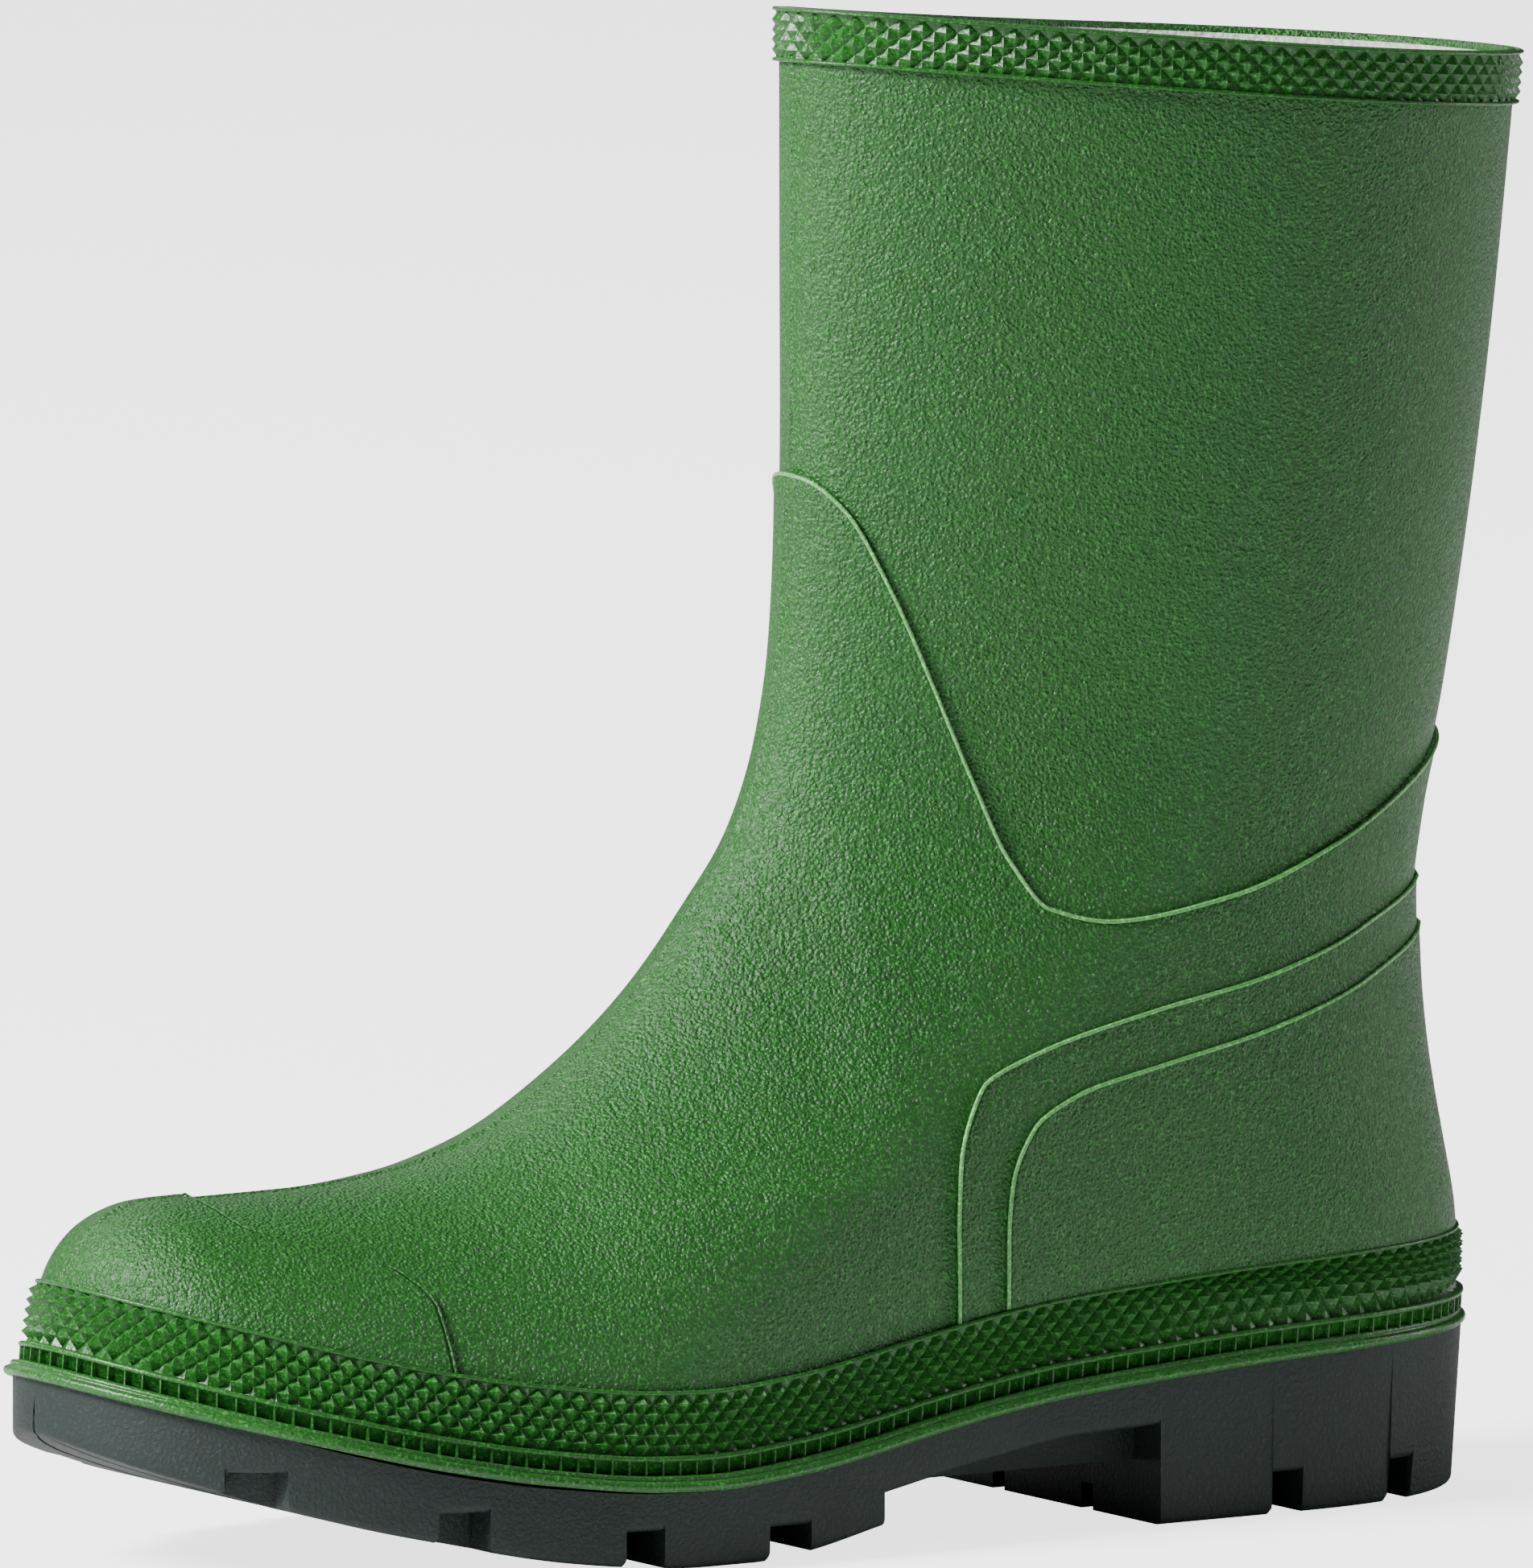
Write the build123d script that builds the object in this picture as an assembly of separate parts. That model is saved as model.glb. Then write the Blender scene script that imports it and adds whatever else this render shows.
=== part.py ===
from build123d import *
import math
import os

# A left half-height rubber boot, in millimetres. The toe points to -X and the outer side of the foot to -Y.
# While it is drawn, Z = 0 is the ground and X = 0 is the middle of the sole. At the end everything is moved
# together, so that the origin is the middle of the bottom of the whole boot's box.

# Thicknesses. The bands and panels outside all start from the shell's outer face.
SHELL_WALL = 2.2
LINING_WALL = 1.1
RIM_BAND = 1.3
OVERLAY = 1.0
HEEL_BAND = 1.5
HEEL_COUNTER = 2.0
TOE_CAP = 1.8
FOXING = 3.4
RIB_STRIP = 2.6
WELT = 6.5
# How far the sole's sides stand out from the shell.
OUTSOLE = 4.5
GAP = 0.2

# Heights, measured up from the top of the sole.
WELT_TOP = 2.6
RIB_TOP = 5.9
FOXING_TOP = 18.2
BOARD = 2.0
FOOTBED_FOAM = 4.0
FOOTBED_COVER = 0.8

# The rim is a plane that falls from its height at the front to the one this far behind.
RIM_FRONT_X = 13.5
RIM_FRONT_HEIGHT = 286.5
RIM_LENGTH = 150
RIM_BACK_HEIGHT = 272.5
RIM_BAND_HEIGHT = 10.2
LINING_BELOW_RIM = 1.5
LINING_SPLIT = 118

# Inside the sole.
SHANK_LENGTH = 110
SHANK_CENTRE_X = 33
SHANK_WIDTH = 18
SHANK_THICKNESS = 1.6
FILLER_BOTTOM = 9
FILLER_CENTRE_X = 109
FILLER_LENGTH = 54
FILLER_WIDTH = 50
FILLER_ROUNDING = 20

# The tread.
HEEL_FRONT = 67
CORE_OUTER_Y = -36
CORE_INNER_Y = 29
CORE_BOTTOM = 11.5
CORE_START = -6
CORE_INTO_HEEL = 4
HEEL_ROUNDING = 3
# Grooves across the tread: start and end along X, and how high they reach.
GROOVES = [
    (-129, -119, 22),
    (-92, -82, 13.4),
    (-54.7, -46.7, 8),
    (-23.5, -14, 6.8),
    (92.5, 99.5, 8),
    (121, 128, 8),
]

# The form widens over its reach from the front and from the back, more slowly on the leg than on the foot.
FRONT_REACH = 48
FRONT_REACH_ADDED_ON_LEG = 50
FRONT_POWER = 1.65
FRONT_POWER_LOST_ON_LEG = 0.35
BACK_REACH = 46
BACK_REACH_ADDED_ON_LEG = 10
BACK_POWER = 2
# The heights between which the foot's roundness, and its width, turn into the leg's.
ROUNDNESS_TO_LEG = (50, 150)
WIDTH_TO_LEG = (45, 125)

# The middle line's swing towards the inner side, from its start to the toe.
SWING = 3
SWING_START_X = -25
SWING_LENGTH = 122
SWING_LIMIT = 1.2
SWING_POWER = 1.6

# Each section of the leg and foot is a flat slice, square to the XZ plane, from a point on the front or top
# profile to a point on the back profile: front X, front Z, back X, back Z.
SECTIONS = [
    (-144.5, -5, 148.5, -5),
    (-144.5, 8, 148.6, 5),
    (-144.4, 20, 149.4, 14),
    (-144.2, 31, 150.4, 23),
    (-143.6, 42, 151, 32),
    (-141.6, 53, 151.4, 40),
    (-138, 60, 151.5, 43),
    (-132.5, 64.8, 151.6, 46),
    (-124, 67.2, 151.5, 49),
    (-110, 67.5, 151.2, 52.5),
    (-92, 68, 150.6, 56.5),
    (-73, 70.2, 149.7, 61),
    (-54, 76, 148.5, 67),
    (-35, 87.8, 147, 75),
    (-19, 102, 145.5, 85),
    (-7, 117, 144.5, 97),
    (2, 130, 144.2, 111),
    (8, 146, 146.5, 128),
    (11.4, 165, 151.2, 149),
    (12.8, 187, 154.8, 172),
    (13.3, 211, 158, 197),
    (13.4, 237, 161, 224),
    (13.5, 264, 163.5, 251),
    (13.6, 292, 166, 279),
]

# Half-widths of the foot along X, and of the leg along Z.
OUTER_HALF = [(-150, 46), (-100, 51), (-50, 52), (-10, 49), (25, 44.5), (60, 41.5), (100, 40.5), (150, 40.5)]
INNER_HALF = [(-150, 38), (-100, 44), (-62, 48), (-20, 43), (20, 36), (60, 36), (100, 39), (150, 40)]
LEG_HALF = [(90, 39), (115, 39.2), (150, 41.5), (200, 46.5), (240, 49.5), (286, 52)]

# Curves in the side view, as X and Z.
SOLE_TOP = [(-160, 43.5), (-146, 37.4), (-133, 32.8), (-108, 25.2), (-89, 20.6), (-69, 17.2), (-47, 15.1),
            (-36, 14.9), (-17, 16.4), (0, 19), (13, 21.4), (42, 25.6), (60, 27.1), (94, 29.4), (119, 30.4),
            (160, 31)]
ANKLE_EDGE = [(6, 199), (12.7, 198), (18.1, 192.2), (24.7, 177.5), (30.5, 162.1), (38.7, 138.7), (43.1, 126.2),
              (49.5, 116.6), (62, 113.8), (86.8, 117.4), (110.6, 125.6), (133.1, 135.9), (160, 149)]
HEEL_BAND_EDGE = [(22.4, 30), (22.6, 55.8), (23.7, 69.3), (30.4, 84.1), (44.4, 90.3), (69.3, 96.6), (91.7, 101),
                  (110.1, 106.2), (122.2, 110.5), (160, 121)]
HEEL_COUNTER_EDGE = [(33.2, 30), (33.7, 55), (34.9, 65.4), (40.6, 76.2), (51.8, 82.2), (68.8, 86.1), (91.3, 90.9),
                     (113.6, 97.5), (124.5, 101.5), (160, 112)]
TOE_CAP_EDGE = [(-118.6, 74), (-116.6, 67.7), (-114, 63.7), (-101.8, 59.9), (-89.2, 55.6), (-84.5, 49.2),
                (-84.3, 30)]
FORE_TREAD = [(-158, 33), (-145, 24), (-132, 19), (-108, 11.7), (-93, 8.2), (-67, 3), (-50, 1.1), (-38, 0.4),
              (-26, 0.4), (-16, 1.3), (3, 5)]
WAIST_EDGE = [(3, 11), (21, 14.2), (33, 16.1), (48, 18.1), (HEEL_FRONT, 19)]

POINTS_PER_SECTION = 28
# Each section's loop turns from the front by the outer side. It is joined up at this point of its inner side,
# between the toe cap and the heel's panels.
JOINED_AT = 23
FAR = 220


def curve(points):
    """A smooth function through the points that never overshoots between them."""
    xs = [p[0] for p in points]
    ys = [p[1] for p in points]
    steps = [(ys[i + 1] - ys[i]) / (xs[i + 1] - xs[i]) for i in range(len(xs) - 1)]
    slopes = [steps[0]]
    for before, after in zip(steps, steps[1:]):
        slopes.append(0 if before * after <= 0 else 2 * before * after / (before + after))
    slopes.append(steps[-1])

    def value(x):
        x = min(max(x, xs[0]), xs[-1])
        i = max(j for j in range(len(xs) - 1) if xs[j] <= x)
        width = xs[i + 1] - xs[i]
        t = (x - xs[i]) / width
        start = ys[i] * (1 + 2 * t) * (1 - t) ** 2 + slopes[i] * width * t * (1 - t) ** 2
        return start + ys[i + 1] * t * t * (3 - 2 * t) + slopes[i + 1] * width * t * t * (t - 1)

    return value


def blend(low, high, value):
    """0 below low, 1 above high, and smooth between."""
    t = min(max((value - low) / (high - low), 0), 1)
    return t * t * (3 - 2 * t)


outer_half = curve(OUTER_HALF)
inner_half = curve(INNER_HALF)
leg_half = curve(LEG_HALF)
sole_top = curve(SOLE_TOP)


def offset_profile(points, distance):
    """The points of a profile, each moved square to it."""
    moved = []
    for i, (x, z) in enumerate(points):
        before = points[max(i - 1, 0)]
        after = points[min(i + 1, len(points) - 1)]
        dx = after[0] - before[0]
        dz = after[1] - before[1]
        length = math.hypot(dx, dz)
        moved.append((x - dz / length * distance, z + dx / length * distance))
    return moved


def nose(depth, reach, power):
    """How far a section has widened at this depth behind its nose, from 0 to 1."""
    return math.sqrt(max(1 - (1 - min(max(depth, 0) / reach, 1)) ** power, 0))


def centre_line(x):
    """The foot's middle line swings inwards towards the toe."""
    return SWING * min(max(SWING_START_X - x, 0) / SWING_LENGTH, SWING_LIMIT) ** SWING_POWER


def skin(offset):
    """The boot's closed outer form, as a solid, at this distance from the outer face of its shell."""
    front = offset_profile([(s[0], s[1]) for s in SECTIONS], offset)
    back = offset_profile([(s[2], s[3]) for s in SECTIONS], -offset)
    front_x = curve([(z, x) for x, z in front])
    back_x = curve([(z, x) for x, z in back])
    rising = [front[0]]
    for point in front[1:]:
        if point[0] > rising[-1][0] + 0.01:
            rising.append(point)
    top_z = curve(rising)
    top_start = rising[0][0]
    top_end = rising[-1][0]

    def half_width(x, z, half):
        """Half the boot's width at a point of the side view."""
        leg = blend(*ROUNDNESS_TO_LEG, z)
        behind = max(x - front_x(z), 0)
        top = FAR * 3 if x >= top_end else top_z(max(x, top_start))
        below = max(top - z, 0)
        depth = behind * below / max(math.hypot(behind, below), 1e-9)
        ahead = back_x(z) - x
        middle = half(x) + (leg_half(z) - half(x)) * blend(*WIDTH_TO_LEG, z)
        front_reach = FRONT_REACH + FRONT_REACH_ADDED_ON_LEG * leg + offset
        front_nose = nose(depth, front_reach, FRONT_POWER - FRONT_POWER_LOST_ON_LEG * leg)
        back_nose = nose(ahead, BACK_REACH + BACK_REACH_ADDED_ON_LEG * leg + offset, BACK_POWER)
        return (middle + offset) * front_nose * back_nose

    loops = []
    for (fx, fz), (bx, bz) in zip(front, back):
        points = []
        for i in range(POINTS_PER_SECTION):
            turn = 2 * math.pi * (JOINED_AT + i) / POINTS_PER_SECTION
            along = (1 - math.cos(turn)) / 2
            x = fx + (bx - fx) * along
            z = fz + (bz - fz) * along
            outer = math.sin(turn) > 0
            half = half_width(x, z, outer_half if outer else inner_half)
            points.append((x, centre_line(x) - half if outer else centre_line(x) + half, z))
        vectors = [Vector(*p) for p in points]
        steps = [i / POINTS_PER_SECTION for i in range(POINTS_PER_SECTION + 1)]
        loops.append(Wire([Edge.make_spline(vectors, periodic=True, parameters=steps)]))
    return Solid.make_loft(loops)


def slab(outline):
    """A prism across the whole boot with this outline in the side view."""
    face = make_face(Plane.XZ * outline)
    return extrude(face, amount=FAR, both=True)


def spline_region(points, corners):
    """The side-view region bounded by a spline through the points and straight lines through the corners."""
    edge = Spline(*points)
    rest = Polyline(points[-1], *corners, points[0])
    return slab(edge + rest)


def above_sole(height, low=-FAR):
    """Everything higher than the top of the sole by this much."""
    points = [(x, z + height) for x, z in SOLE_TOP]
    return spline_region(points, [(FAR, points[-1][1]), (FAR, 2 * FAR), (low, 2 * FAR), (low, points[0][1])])


def between_heights(low, high):
    """The layer between two heights above the top of the sole."""
    return above_sole(low) - above_sole(high)


def below_rim(drop):
    """Everything lower than the rim's plane by this much."""
    slope = (RIM_BACK_HEIGHT - RIM_FRONT_HEIGHT) / RIM_LENGTH
    left = RIM_FRONT_HEIGHT - drop + slope * (-FAR - RIM_FRONT_X)
    right = RIM_FRONT_HEIGHT - drop + slope * (FAR - RIM_FRONT_X)
    return slab(Polyline((-FAR, left), (FAR, right), (FAR, -FAR), (-FAR, -FAR), close=True))


def box_between(x_low, x_high, y_low, y_high, z_low, z_high):
    size = Box(x_high - x_low, y_high - y_low, z_high - z_low)
    return Pos((x_low + x_high) / 2, (y_low + y_high) / 2, (z_low + z_high) / 2) * size


def rounded_block(length, width, rounding, bottom):
    """The heel filler's block, from its bottom to well above the sole."""
    plan = Pos(FILLER_CENTRE_X, 0, bottom) * RectangleRounded(length, width, rounding)
    return extrude(plan, amount=FAR)


def behind_edge(points):
    """The side-view region behind and below an edge that rises towards the back."""
    return spline_region(points, [(FAR, points[-1][1]), (FAR, 0), (points[0][0], 0)])


def ahead_of_edge(points):
    """The side-view region in front of and below an edge that falls towards the back."""
    return spline_region(points, [(points[-1][0], 0), (-FAR, 0), (-FAR, points[0][1])])


def layer(face, region, thickness):
    """A skin grown square to the part of a face that lies in a region: outwards is positive."""
    return thicken((face & region).faces().sort_by(SortBy.AREA)[-1], amount=thickness)


def side_face(form):
    """The face all round a closed form."""
    return form.faces().sort_by(SortBy.AREA)[-1]


def make_upper():
    """The green shell, and the panels, bands and welt that lie on it edge to edge."""
    face = side_face(skin(0))
    foot = above_sole(0)
    panels = above_sole(FOXING_TOP)
    front = ANKLE_EDGE[0][1]
    ankle = spline_region(ANKLE_EDGE, [(FAR, ANKLE_EDGE[-1][1]), (FAR, 0), (-FAR, 0), (-FAR, front)])
    heel = behind_edge(HEEL_BAND_EDGE)
    heel_inner = behind_edge(HEEL_COUNTER_EDGE)
    toe = ahead_of_edge(TOE_CAP_EDGE)
    rim_strip = below_rim(0) - below_rim(RIM_BAND_HEIGHT)
    return {
        "upper_shell": layer(face, foot & below_rim(0), -SHELL_WALL),
        "ankle_overlay": layer(face, (panels & ankle) - heel - toe, OVERLAY),
        "heel_band": layer(face, (panels & heel) - heel_inner, HEEL_BAND),
        "heel_counter": layer(face, panels & heel_inner, HEEL_COUNTER),
        "toe_cap": layer(face, panels & toe, TOE_CAP),
        "rim_band": layer(face, rim_strip, RIM_BAND),
        "foxing_band": layer(face, between_heights(RIB_TOP, FOXING_TOP), FOXING),
        "rib_strip": layer(face, between_heights(WELT_TOP, RIB_TOP), RIB_STRIP),
        "welt": layer(face, between_heights(0, WELT_TOP), WELT),
    }


def make_lining():
    """The knitted lining, in its leg and foot pieces."""
    face = side_face(skin(-SHELL_WALL - 2 * GAP))
    high = box_between(-FAR, FAR, -FAR, FAR, LINING_SPLIT, 2 * FAR)
    low = box_between(-FAR, FAR, -FAR, FAR, -FAR, LINING_SPLIT)
    return {
        "lining_leg": layer(face, below_rim(LINING_BELOW_RIM) & high, -LINING_WALL),
        "lining_foot": layer(face, above_sole(BOARD + GAP) & low, -LINING_WALL),
    }


def make_inside():
    """The board at the bottom of the foot, and the removable footbed on it."""
    bed_bottom = BOARD + GAP
    foam_top = bed_bottom + FOOTBED_FOAM
    bed = skin(-SHELL_WALL - LINING_WALL - 5 * GAP)
    return {
        "insole_board": skin(-SHELL_WALL - 3 * GAP) & between_heights(0, BOARD),
        "footbed_foam": bed & between_heights(bed_bottom, foam_top),
        "footbed_cover": bed & between_heights(foam_top, foam_top + FOOTBED_COVER),
    }


def make_sole():
    """The black sole, with the shank and the heel filler in its pockets."""
    shank_top = -2 * GAP
    shank_bottom = shank_top - SHANK_THICKNESS
    strip = box_between(
        SHANK_CENTRE_X - SHANK_LENGTH / 2, SHANK_CENTRE_X + SHANK_LENGTH / 2,
        -SHANK_WIDTH / 2, SHANK_WIDTH / 2, 0, FAR,
    )
    shank_pocket = box_between(
        SHANK_CENTRE_X - SHANK_LENGTH / 2 - GAP, SHANK_CENTRE_X + SHANK_LENGTH / 2 + GAP,
        -SHANK_WIDTH / 2 - GAP, SHANK_WIDTH / 2 + GAP, 0, FAR,
    )
    filler_top = shank_bottom - GAP
    filler = rounded_block(FILLER_LENGTH, FILLER_WIDTH, FILLER_ROUNDING, FILLER_BOTTOM)
    filler_pocket = rounded_block(
        FILLER_LENGTH + 2 * GAP, FILLER_WIDTH + 2 * GAP, FILLER_ROUNDING + GAP, FILLER_BOTTOM - GAP
    )

    heel_end = SECTIONS[0][2] + OUTSOLE
    outline = (
        Spline(*FORE_TREAD)
        + Line(FORE_TREAD[-1], WAIST_EDGE[0])
        + Spline(*WAIST_EDGE)
        + Polyline(
            WAIST_EDGE[-1], (HEEL_FRONT, 0), (heel_end - HEEL_ROUNDING, 0), (heel_end, HEEL_ROUNDING),
            (FAR, HEEL_ROUNDING), (FAR, FAR), (-FAR, FAR), (-FAR, FORE_TREAD[0][1]), FORE_TREAD[0],
        )
    )
    body = (skin(OUTSOLE) & slab(outline)) - above_sole(-GAP)
    core_end = HEEL_FRONT + CORE_INTO_HEEL
    core = box_between(CORE_START, core_end, CORE_OUTER_Y, CORE_INNER_Y, CORE_BOTTOM, FAR)
    body = body + (core - above_sole(-GAP))
    for start, end, top in GROOVES:
        body = body - box_between(start, end, -FAR, FAR, -FAR, top)
    body = body - (shank_pocket & above_sole(shank_bottom - GAP))
    body = body - filler_pocket
    return {
        "outsole": body,
        "shank": strip & between_heights(shank_bottom, shank_top),
        "heel_filler": filler - above_sole(filler_top),
    }


def main():
    os.makedirs("parts", exist_ok=True)
    parts = make_upper() | make_lining() | make_inside() | make_sole()
    whole = Compound(children=[p for part in parts.values() for p in part.solids()]).bounding_box()
    to_origin = Location((-whole.center().X, -whole.center().Y, -whole.min.Z))
    for name, part in parts.items():
        solids = [s.moved(to_origin) for s in part.solids()]
        shape = solids[0] if len(solids) == 1 else Compound(children=solids)
        export_step(shape, f"parts/{name}.step")


main()
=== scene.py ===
import math

import bpy
import numpy as np
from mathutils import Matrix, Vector


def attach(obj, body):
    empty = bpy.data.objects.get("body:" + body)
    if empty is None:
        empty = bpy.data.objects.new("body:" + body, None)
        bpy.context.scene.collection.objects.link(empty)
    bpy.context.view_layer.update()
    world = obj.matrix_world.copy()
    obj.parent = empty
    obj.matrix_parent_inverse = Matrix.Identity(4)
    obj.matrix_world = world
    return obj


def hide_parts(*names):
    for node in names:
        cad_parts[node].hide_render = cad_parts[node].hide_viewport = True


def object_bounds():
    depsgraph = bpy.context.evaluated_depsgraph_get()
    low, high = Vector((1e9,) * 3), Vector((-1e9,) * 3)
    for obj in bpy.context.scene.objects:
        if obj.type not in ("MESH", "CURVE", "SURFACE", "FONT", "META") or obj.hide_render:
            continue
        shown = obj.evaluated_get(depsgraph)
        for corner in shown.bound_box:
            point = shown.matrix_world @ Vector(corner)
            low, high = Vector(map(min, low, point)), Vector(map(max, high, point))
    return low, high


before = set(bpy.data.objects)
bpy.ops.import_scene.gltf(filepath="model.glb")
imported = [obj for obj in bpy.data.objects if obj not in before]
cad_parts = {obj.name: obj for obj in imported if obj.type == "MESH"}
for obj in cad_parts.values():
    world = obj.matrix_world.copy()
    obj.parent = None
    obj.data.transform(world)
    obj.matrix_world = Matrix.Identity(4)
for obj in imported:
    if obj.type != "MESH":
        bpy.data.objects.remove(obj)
cad_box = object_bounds()

# The boot is drawn in millimetres, with Z = 0 on the ground and X = 0 at the middle of the sole, the toe
# towards -X and the outer side towards -Y. These place that drawing in the shared frame, by the welt's edge.
DRAWN_TOE_X = -150.44
DRAWN_OUTER_Y = -58.24
SHIFT = np.array([cad_box[0].x * 1000 - DRAWN_TOE_X, cad_box[0].y * 1000 - DRAWN_OUTER_Y, 0.0])

# Distances outwards from the shell's outer face.
SHELL_WALL = 2.2
LINING_OUTER = -2.6
LINING_INNER = -3.7
OVERLAY = 1.0
HEEL_BAND = 1.6
HEEL_COUNTER = 2.1
TOE_CAP = 1.7
WELT = 6.3
WELT_LESS_AT_HEEL = 1.9
OUTSOLE = 4.5
OUTSOLE_LESS_AT_HEEL = 0.9

# Heights above the top of the sole.
WELT_TOP = 2.9
RIB_TOP = 5.9
FOXING_TOP = 18.2
RIM_BAND_HEIGHT = 10.2
RIM_LEAN = 3.0

# Side-view curves, as X and Z.
SOLE_TOP = [(-160, 43.5), (-146, 37.4), (-133, 32.8), (-108, 25.2), (-89, 20.6), (-69, 17.2), (-47, 15.1),
            (-36, 14.9), (-17, 16.4), (0, 19), (13, 21.4), (42, 25.6), (60, 27.1), (94, 29.4), (119, 30.4),
            (160, 31)]
ANKLE_EDGE = [
    (6, 199), (12.7, 198), (18.1, 192.2), (24.7, 177.5), (30.5, 162.1), (38.7, 138.7), (43.1, 126.2),
    (49.5, 116.6), (62, 113.8), (86.8, 117.4), (110.6, 125.6), (133.1, 135.9), (160, 149),
]
# The edges of the heel's panels and the toe cap are read as X at each Z, so their Z only ever rises or falls.
HEEL_BAND_EDGE = [
    (22.4, 20), (22.6, 55.8), (23.7, 69.3), (30.4, 84.1), (44.4, 90.3), (69.3, 96.6), (91.7, 101),
    (110.1, 106.2), (122.2, 110.5), (160, 121),
]
HEEL_COUNTER_EDGE = [
    (33.2, 20), (33.7, 55), (34.9, 65.4), (40.6, 76.2), (51.8, 82.2), (68.8, 86.1), (91.3, 90.9),
    (113.6, 97.5), (124.5, 101.5), (160, 112),
]
TOE_CAP_EDGE = [(-120, 74), (-118.6, 70.5), (-116.6, 67.7), (-114, 63.7), (-101.8, 59.9), (-89.2, 55.6),
                (-84.5, 49.2), (-84.3, 20)]
TREAD = [(-158, 33), (-145, 24), (-132, 19), (-108, 11.7), (-93, 8.2), (-67, 3), (-50, 1.1), (-38, 0.4),
         (-26, 0.4), (-16, 1.3), (3, 5)]
WAIST_EDGE = [(3, 11), (21, 14.2), (33, 16.1), (48, 18.1), (67, 19)]
HEEL_FRONT = 67.0
HEEL_GROOVES = [(92.5, 99.5, 8), (121, 128, 8)]
FORE_GROOVES = [(-129, -119, 22), (-92, -82, 13.4), (-54.7, -46.7, 8), (-23.5, -14, 6.8)]

# Sections of the boot, from a point on the front or top profile to one on the back profile.
SECTIONS = [
    (-144.5, -5, 148.5, -5), (-144.5, 8, 148.6, 5), (-144.4, 20, 149.4, 14), (-144.2, 31, 150.4, 23),
    (-143.6, 42, 151, 32), (-141.6, 53, 151.4, 40), (-138, 60, 151.5, 43), (-132.5, 64.8, 151.6, 46),
    (-124, 67.2, 151.5, 49), (-110, 67.5, 151.2, 52.5), (-92, 68, 150.6, 56.5), (-73, 70.2, 149.7, 61),
    (-54, 76, 148.5, 67), (-35, 87.8, 147, 75), (-19, 102, 145.5, 85), (-7, 117, 144.5, 97),
    (2, 130, 144.2, 111), (8, 146, 146.5, 128), (11.4, 165, 151.2, 149), (12.8, 187, 154.8, 172),
    (13.3, 211, 158, 197), (13.4, 237, 161, 224), (13.5, 264, 163.5, 251), (13.6, 292, 166, 279),
]
LAST = len(SECTIONS) - 1

# The form widens over its reach from the front and from the back, more slowly on the leg than on the foot.
FRONT_REACH = 48
FRONT_REACH_ADDED_ON_LEG = 50
FRONT_POWER = 1.65
FRONT_POWER_LOST_ON_LEG = 0.35
BACK_REACH = 46
BACK_REACH_ADDED_ON_LEG = 10
BACK_POWER = 2
NOSE_EASE = 0.35
# The heights between which the foot's roundness, and its width, turn into the leg's.
ROUNDNESS_TO_LEG = (50, 150)
WIDTH_TO_LEG = (45, 125)

# The middle line's swing towards the inner side, from its start to the toe.
SWING = 3
SWING_START_X = -25
SWING_LENGTH = 122
SWING_LIMIT = 1.2
SWING_POWER = 1.6

# The rim falls from its height at the front to its back, sags a little between, and leans to the inner side.
RIM_FRONT_X = 13.5
RIM_FRONT_HEIGHT = 286.5
RIM_LENGTH = 150
RIM_FALL = 14
RIM_SAG = 0.9
OUTER_HALF = [(-150, 46), (-100, 51), (-50, 52), (-10, 49), (25, 44.5), (60, 41.5), (100, 40.5), (150, 40.5)]
INNER_HALF = [(-150, 38), (-100, 44), (-62, 48), (-20, 43), (20, 36), (60, 36), (100, 39), (150, 40)]
LEG_HALF = [(90, 39), (115, 39.2), (150, 41.5), (200, 46.5), (240, 49.5), (286, 52)]


# --- The boot's form ---------------------------------------------------------------------------------------


def curve(points):
    """A smooth function through the points that never overshoots between them."""
    xs = np.array([p[0] for p in points], float)
    ys = np.array([p[1] for p in points], float)
    steps = np.diff(ys) / np.diff(xs)
    slopes = np.concatenate([[steps[0]], np.zeros(len(xs) - 2), [steps[-1]]])
    both = steps[:-1] * steps[1:]
    rising = both > 0
    slopes[1:-1][rising] = 2 * both[rising] / (steps[:-1] + steps[1:])[rising]

    def value(x):
        x = np.clip(x, xs[0], xs[-1])
        i = np.clip(np.searchsorted(xs, x, side="right") - 1, 0, len(xs) - 2)
        width = xs[i + 1] - xs[i]
        t = (x - xs[i]) / width
        start = ys[i] * (1 + 2 * t) * (1 - t) ** 2 + slopes[i] * width * t * (1 - t) ** 2
        return start + ys[i + 1] * t * t * (3 - 2 * t) + slopes[i + 1] * width * t * t * (t - 1)

    return value


def blend(low, high, value):
    t = np.clip((value - low) / (high - low), 0, 1)
    return t * t * (3 - 2 * t)


outer_half = curve(OUTER_HALF)
inner_half = curve(INNER_HALF)
leg_half = curve(LEG_HALF)
sole_top = curve(SOLE_TOP)
ankle_edge = curve(ANKLE_EDGE)
tread = curve(TREAD)
waist_edge = curve(WAIST_EDGE)
section_ends = [curve([(i, section[k]) for i, section in enumerate(SECTIONS)]) for k in range(4)]
# The front and back profiles, closely sampled, so that each can be read as X at Z or as Z at X.
fine_levels = np.linspace(0, LAST, 20001)
front_line = np.stack([section_ends[0](fine_levels), section_ends[1](fine_levels)])
back_line = np.stack([section_ends[2](fine_levels), section_ends[3](fine_levels)])
# Behind the shin there is no top, so its curve climbs away.
rising_line = front_line[:, fine_levels > 1.01]
climb = np.linspace(0.05, 45, 900)
rising_line = np.concatenate([rising_line, [SECTIONS[-1][0] + climb, SECTIONS[-1][1] + climb ** 2]], axis=1)


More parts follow.
